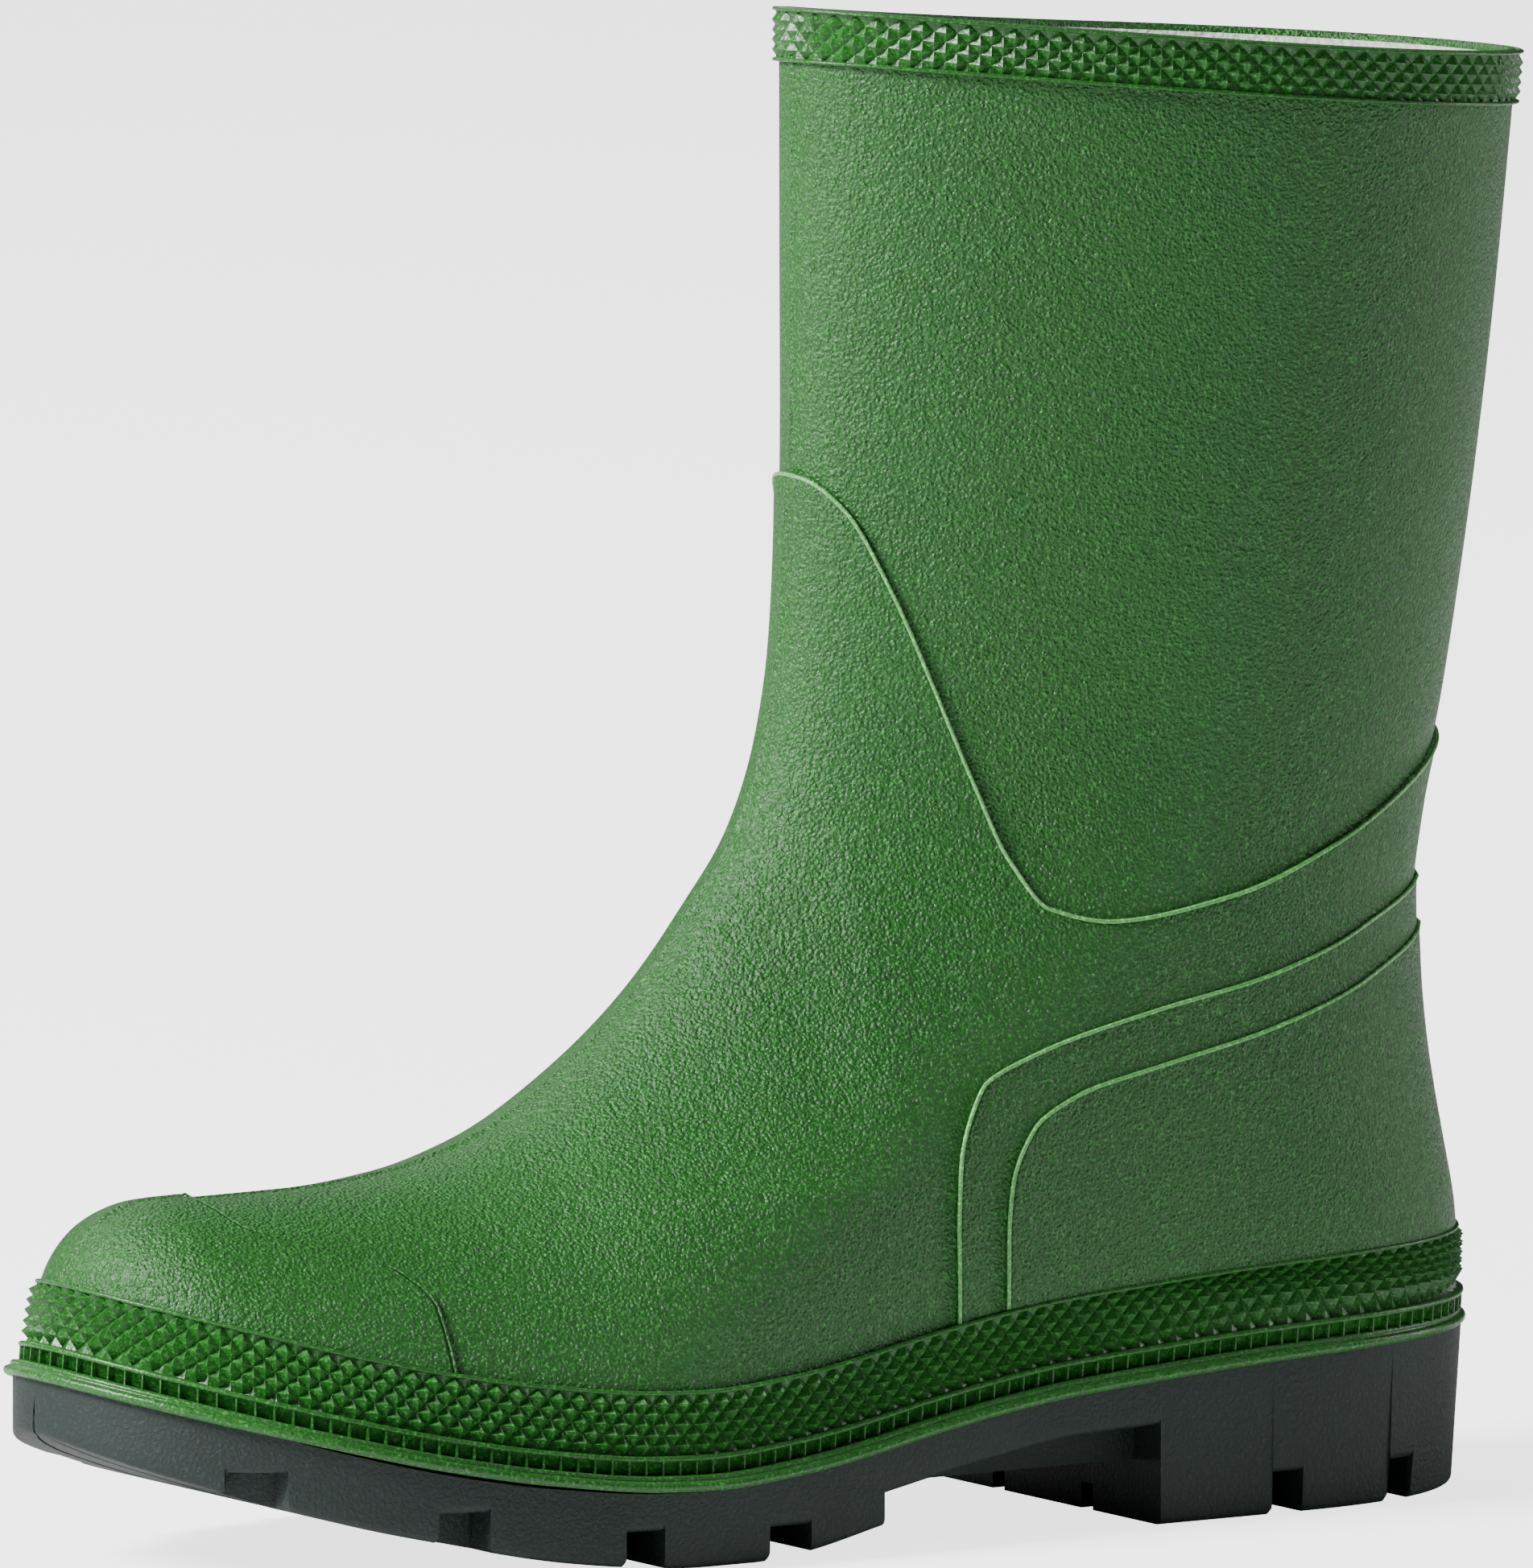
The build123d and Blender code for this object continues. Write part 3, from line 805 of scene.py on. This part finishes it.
def make_welt():
    """The welt: two rounded beads, the lower one wider."""
    rows = [(0.0, 0.6), (0.0, WELT - 0.6)]
    for k in range(9):
        angle = math.radians(-80 + 160 * k / 8)
        rows.append((0.95 + 0.85 * math.sin(angle), WELT - 0.75 + 0.75 * math.cos(angle)))
    for k in range(7):
        angle = math.radians(-35 + 120 * k / 6)
        rows.append((2.35 + 0.55 * math.sin(angle), WELT - 1.9 + 0.7 * math.cos(angle)))
    rows += [(WELT_TOP, 3.4), (WELT_TOP - 0.25, 2.2), (WELT_TOP - 0.3, 0.6)]
    ledge("welt_visible", "welt", rows, trim_rubber, WELT_LESS_AT_HEEL)


# below_rim measures downwards, so a rim bead's height radius is negative.
for bead_name, depth_below_rim in (("rim_bead_top", 0.35), ("rim_bead_bottom", RIM_BAND_HEIGHT - 0.3)):
    round_bead(bead_name, "rim_band", below_rim, depth_below_rim, -0.42, 0.55, 0.75)
make_rib_strip()
make_welt()
round_bead("foxing_bead_top", "foxing_band", at_height, FOXING_TOP - 0.35, 0.45, 2.0, 0.7)


# --- The sole ----------------------------------------------------------------------------------------------


# Across the sole, as shares of its half-width: where the side lugs, the waist's core and the channel lie.
SIDE_DEPTH = 0.86
CORE_SIDE = 0.80
CHANNEL = (0.34, 0.44)
CHANNEL_DEPTH = 5.0
CORE_BOTTOM = 11.5
CHAMFER = 0.6
# The middle lugs' grooves lie this far ahead of those at the sides.
CENTRE_SHIFT = 19.0
# In front of this X the notches are shallow, and only on the outer side.
SHALLOW_BEFORE = -75
FOREFOOT_END = 3.0
# The recess in the heel's middle starts this far behind the heel's front, and ends at this X.
HEEL_RECESS_START = HEEL_FRONT + 14
HEEL_RECESS_END = 128.0


def tread_edge(x):
    """The bottom of the sole at its sides, without grooves."""
    return np.where(x < FOREFOOT_END, tread(x), np.where(x < HEEL_FRONT, waist_edge(x), 0.0))


def with_grooves(x, bottom, grooves, shift=0.0):
    """The sole's bottom with grooves cut into it, and a small chamfer at each one's edges."""
    for start, end, top in grooves:
        start, end = start + shift, end + shift
        at_edge = CHAMFER - np.minimum(np.abs(x - start), np.abs(x - end))
        chamfered = bottom + np.clip(at_edge, 0, CHAMFER)
        bottom = np.where((x > start) & (x < end), np.maximum(bottom, top), chamfered)
    return bottom


def underside(x, across):
    """The height of the sole's underside. across runs from -1 at the outer side to 1 at the inner side."""
    side = np.abs(across)
    edge = tread_edge(x)
    waist = (x > FOREFOOT_END) & (x < HEEL_FRONT)
    shallow = with_grooves(x, edge, FORE_GROOVES[:2])
    through = with_grooves(x, edge, FORE_GROOVES[2:] + HEEL_GROOVES)
    at_side = np.where(x < SHALLOW_BEFORE, shallow, through)
    further_in = np.where(x < SHALLOW_BEFORE, edge, through)
    bottom = np.where(side > SIDE_DEPTH, at_side, further_in)
    channel = (side > CHANNEL[0]) & (side < CHANNEL[1])
    bottom = np.where(channel & ~waist, np.maximum(bottom, edge + CHANNEL_DEPTH), bottom)
    centre = side < CHANNEL[0]
    staggered = with_grooves(x, edge, FORE_GROOVES[1:], -CENTRE_SHIFT)
    bottom = np.where(centre & (x < FOREFOOT_END), staggered, bottom)
    recess = centre & (x > HEEL_RECESS_START) & (x < HEEL_RECESS_END)
    bottom = np.where(recess, CHANNEL_DEPTH + 1.5, bottom)
    return np.where(waist & (side < CORE_SIDE), np.minimum(edge, CORE_BOTTOM), bottom)


def sole_half(outer):
    """One side of the sole's outline, from toe to heel."""
    turn = np.linspace(0.001, math.pi - 0.001, 1600)
    turn = turn if outer else 2 * math.pi - turn
    level = at_height(turn, 0.0)
    line = raised(turn, level, OUTSOLE - OUTSOLE_LESS_AT_HEEL * blend(*DRAW_IN, side_view(turn, level)[0]))
    return line[np.argsort(line[:, 0])]


def make_outsole():
    """A grid over the sole's walls and underside, whose stations close up at every step of the tread."""
    outer = sole_half(True)
    inner = sole_half(False)
    low = max(outer[0, 0], inner[0, 0]) + 0.002
    high = min(outer[-1, 0], inner[-1, 0]) - 0.002
    stations = list((low + high) / 2 - (high - low) / 2 * np.cos(np.linspace(0, math.pi, 420)))
    tiny = 0.004
    edges = [edge for groove in FORE_GROOVES + HEEL_GROOVES for edge in groove[:2]]
    edges += [FOREFOOT_END, HEEL_FRONT, HEEL_RECESS_START, HEEL_RECESS_END]
    edges += [edge - CENTRE_SHIFT for groove in FORE_GROOVES[1:] for edge in groove[:2]]
    for edge in edges:
        stations += [edge - CHAMFER, edge - tiny, edge + tiny, edge + CHAMFER]
    x = np.array(sorted(stations))
    steps = [CHANNEL[0], CHANNEL[1], CORE_SIDE, SIDE_DEPTH, 1.0]
    steps = [-step for step in steps[::-1]] + steps
    across = []
    for first, last in zip(steps, steps[1:]):
        across += list(np.linspace(first + 0.0005, last - 0.0005, 4))
    across = np.array(across)
    rings = []
    for side, half in ((-1, outer), (1, inner)):
        y = np.interp(x, half[:, 0], half[:, 1])
        slope = np.gradient(half[:, 1], half[:, 0])
        lean = np.clip(np.interp(x, half[:, 0], slope), -30, 30)
        out = np.stack([-lean * side, np.full(x.shape, float(side))], -1)
        out = out / np.linalg.norm(out, axis=1, keepdims=True)
        bottom = underside(x, np.full(x.shape, 0.999 * side))
        top = sole_top(x) - 0.1
        taper = 0.12 * np.clip(15 - bottom, 0, 15) * blend(60, 140, x)
        wall = []
        radius = 1.4
        for share, turn in ((0, 0), (0.4, 0), (0.8, 0), (1, 0), (1, 22), (1, 45), (1, 68), (1, 90)):
            angle = math.radians(turn)
            inset = taper * share + radius * (1 - math.cos(angle))
            z = top + (bottom + radius - top) * share - radius * math.sin(angle)
            wall.append(np.stack([x - out[:, 0] * inset, y - out[:, 1] * inset, z], -1))
        rings.append(wall)
    outer_wall, inner_wall = rings
    start, end = outer_wall[-1], inner_wall[-1]
    share = ((across + 1) / 2)[:, None, None]
    floor = start[None] + (end - start)[None] * share
    for k, side in enumerate(across):
        floor[k, :, 2] = underside(x, np.full(x.shape, side))
    columns = outer_wall + list(floor) + inner_wall[::-1]
    points = np.swapaxes(np.stack(columns), 0, 1)
    rows, count = points.shape[:2]
    faces = [tuple(f) for f in grid_faces(rows, count, False, True)]
    faces += [tuple(range(count))[::-1], tuple(range((rows - 1) * count, rows * count))]
    piece = add_piece("outsole_visible", points, faces, sole_rubber, "outsole")
    mark_sharp(piece, 32)


make_outsole()


# --- Inside ------------------------------------------------------------------------------------------------


def level_at_z(turn, height):
    return first_level(turn, lambda x, z: z - height)


def make_lining(name, node, low, high, rows):
    """A knitted tube against the inside of the shell."""
    levels = rows_between(low, high, rows)
    profile = [(level, LINING_OUTER) for level in levels]
    profile += [(level, LINING_INNER) for level in levels[::-1]]
    piece = ring(name, around, profile, knit_cotton, node)
    piece.data.flip_normals()
    return piece


def plate(name, node, distance, low, high, material):
    """A flat piece that follows the top of the sole, between two heights above it."""
    turn = np.linspace(0.03, math.pi - 0.03, 220)
    level = at_height(turn, (low + high) / 2)
    outer, inner = (raised(t, level, np.full(t.shape, distance)) for t in (turn, 2 * math.pi - turn))
    share = np.linspace(0, 1, 30)[None, :, None]
    grid = outer[:, None] * (1 - share) + inner[:, None] * share
    top, bottom = grid.copy(), grid.copy()
    top[..., 2] = sole_top(grid[..., 0]) + high
    bottom[..., 2] = sole_top(grid[..., 0]) + low
    points, faces = closed_sheet(top, bottom)
    piece = add_piece(name, points, faces, material, node)
    mark_sharp(piece, 50)
    return piece


def strip(name, node, x, half, low, high, material):
    """A piece in the sole: half is its half-width at each x, low and high its bottom and top there."""
    across = np.linspace(-1, 1, 21)[None, :]
    grid = np.stack(np.broadcast_arrays(x[:, None], half[:, None] * across, 0.0 * across + x[:, None]), -1)
    top, bottom = grid.copy(), grid.copy()
    top[..., 2] = high[:, None]
    bottom[..., 2] = low[:, None]
    points, faces = closed_sheet(top, bottom)
    piece = add_piece(name, points, faces, material, node)
    mark_sharp(piece, 50)
    return piece


board_fibre = plain("board_fibre", (0.32, 0.22, 0.13), (0.42, 0.31, 0.19), 0.85, 400.0)
shank_steel = plain("shank_steel", (0.42, 0.42, 0.43), (0.55, 0.55, 0.56), 0.35, 200.0, 1.0)
foam = plain("footbed_eva", (0.10, 0.11, 0.12), (0.17, 0.18, 0.19), 0.9, 700.0)
filler = plain("filler_cork", (0.30, 0.19, 0.10), (0.50, 0.35, 0.20), 0.9, 250.0)

leg_lining = make_lining(
    "lining_leg_visible", "lining_leg", level_at_z(around, 118.0), below_rim(around, 1.3), 50,
)
foot_lining = make_lining(
    "lining_foot_visible", "lining_foot", at_height(around, 2.4), level_at_z(around, 117.6), 60,
)
cover = plate("footbed_cover_visible", "footbed_cover", -4.4, 6.25, 7.0, knit_cotton)
bed = plate("footbed_foam_visible", "footbed_foam", -4.4, 2.25, 6.2, foam)
plate("insole_board_visible", "insole_board", -2.9, 0.05, 1.95, board_fibre)

# The shank's ends and half-width, and the heel filler's middle, half-length, half-width and corner radius.
SHANK_ENDS = (-21.8, 87.8)
SHANK_HALF = 8.9
FILLER_MIDDLE = 109
FILLER_HALF_LENGTH = 26.9
FILLER_HALF = 24.8
FILLER_CORNER = 20
shank_x = np.linspace(*SHANK_ENDS, 60)
strip(
    "shank_visible", "shank", shank_x, np.full(60, SHANK_HALF), sole_top(shank_x) - 1.95,
    sole_top(shank_x) - 0.45, shank_steel,
)
# The stations stop just short of the filler's ends.
filler_x = FILLER_MIDDLE - 26.8 * np.cos(np.linspace(0, math.pi, 60))
end_gap = np.clip(FILLER_HALF_LENGTH - np.abs(filler_x - FILLER_MIDDLE), 0, FILLER_CORNER)
corner_width = np.sqrt(np.clip(FILLER_CORNER**2 - (FILLER_CORNER - end_gap) ** 2, 0, None))
filler_half = FILLER_HALF - FILLER_CORNER + corner_width
strip(
    "heel_filler_visible", "heel_filler", filler_x, filler_half, np.full(60, 9.1), sole_top(filler_x) - 2.25,
    filler,
)


# --- Stage -------------------------------------------------------------------------------------------------


def make_stage():
    """A pale floor and a plain world. Both are brighter to the camera than they are as light."""
    mesh = bpy.data.meshes.new("floor")
    size = 6.0
    corners = [(-size, -size, 0), (size, -size, 0), (size, size, 0), (-size, size, 0)]
    mesh.from_pydata(corners, [], [(0, 1, 2, 3)])
    floor = bpy.data.objects.new("floor", mesh)
    bpy.context.scene.collection.objects.link(floor)
    material, nodes, links, shader = new_material("floor_paint", (0.92, 0.92, 0.92), 0.7)
    mesh.materials.append(material)
    paths = nodes.new("ShaderNodeLightPath")
    glow = spread(nodes, links, paths.outputs["Is Camera Ray"], 0.0, 1.0, 0.0, 2.5)
    shader.inputs["Emission Color"].default_value = (1, 1, 1, 1)
    links.new(glow, shader.inputs["Emission Strength"])
    floor.location.z = -0.0002
    world = bpy.data.worlds.new("studio")
    world.use_nodes = True
    nodes, links = world.node_tree.nodes, world.node_tree.links
    paths = nodes.new("ShaderNodeLightPath")
    strength = spread(nodes, links, paths.outputs["Is Camera Ray"], 0.0, 1.0, 0.05, 14.0)
    nodes["Background"].inputs["Color"].default_value = (1, 1, 1, 1)
    links.new(strength, nodes["Background"].inputs["Strength"])
    bpy.context.scene.world = world


def area_light(name, place, aim, size, power):
    light = bpy.data.lights.new(name, "AREA")
    light.shape = "RECTANGLE"
    light.size, light.size_y = size
    light.energy = power
    lamp = bpy.data.objects.new(name, light)
    bpy.context.scene.collection.objects.link(lamp)
    lamp.location = place
    lamp.rotation_euler = (Vector(aim) - Vector(place)).to_track_quat("-Z", "Y").to_euler()


# The camera's direction from the boot in degrees, its distance in metres, and the height it sees there.
CAMERA_AZIMUTH = -30.6
CAMERA_ELEVATION = 6.63
CAMERA_DISTANCE = 7.09
CAMERA_FIELD = 0.29386
SENSOR_WIDTH = 36
# The point it looks at, in the drawing's millimetres, and how far that then moves right and down in metres.
CAMERA_AIM = (6.24, -1.19, 143.26)
AIM_RIGHT = 0.0009
AIM_DOWN = 0.004


def make_camera():
    """A long lens from the toe end of the outer side, a little above the boot."""
    azimuth = math.radians(CAMERA_AZIMUTH)
    elevation = math.radians(CAMERA_ELEVATION)
    back = Vector((
        math.sin(azimuth) * math.cos(elevation), -math.cos(azimuth) * math.cos(elevation), math.sin(elevation)
    ))
    right = Vector((math.cos(azimuth), math.sin(azimuth), 0))
    up = back.cross(right)
    aim = Vector((np.array(CAMERA_AIM) + SHIFT) / 1000) + right * AIM_RIGHT - up * AIM_DOWN
    camera = bpy.data.cameras.new("camera")
    camera.sensor_width = SENSOR_WIDTH
    camera.lens = SENSOR_WIDTH * CAMERA_DISTANCE / CAMERA_FIELD
    camera.clip_end = 100
    eye = bpy.data.objects.new("camera", camera)
    bpy.context.scene.collection.objects.link(eye)
    eye.location = aim + back * CAMERA_DISTANCE
    eye.rotation_euler = (-back).to_track_quat("-Z", "Y").to_euler()
    bpy.context.scene.camera = eye


make_stage()
area_light("key", (-2.3, 0.25, 2.0), (0, 0, 0.12), (1.0, 1.0), 210)
area_light("side", (-0.9, -2.6, 1.2), (0, 0, 0.15), (1.0, 1.6), 2)
area_light("rear", (2.2, -0.3, 0.9), (0, 0, 0.15), (0.5, 1.6), 16)
area_light("behind", (0.4, 2.4, 1.6), (0, 0, 0.1), (2.0, 1.6), 14)
make_camera()
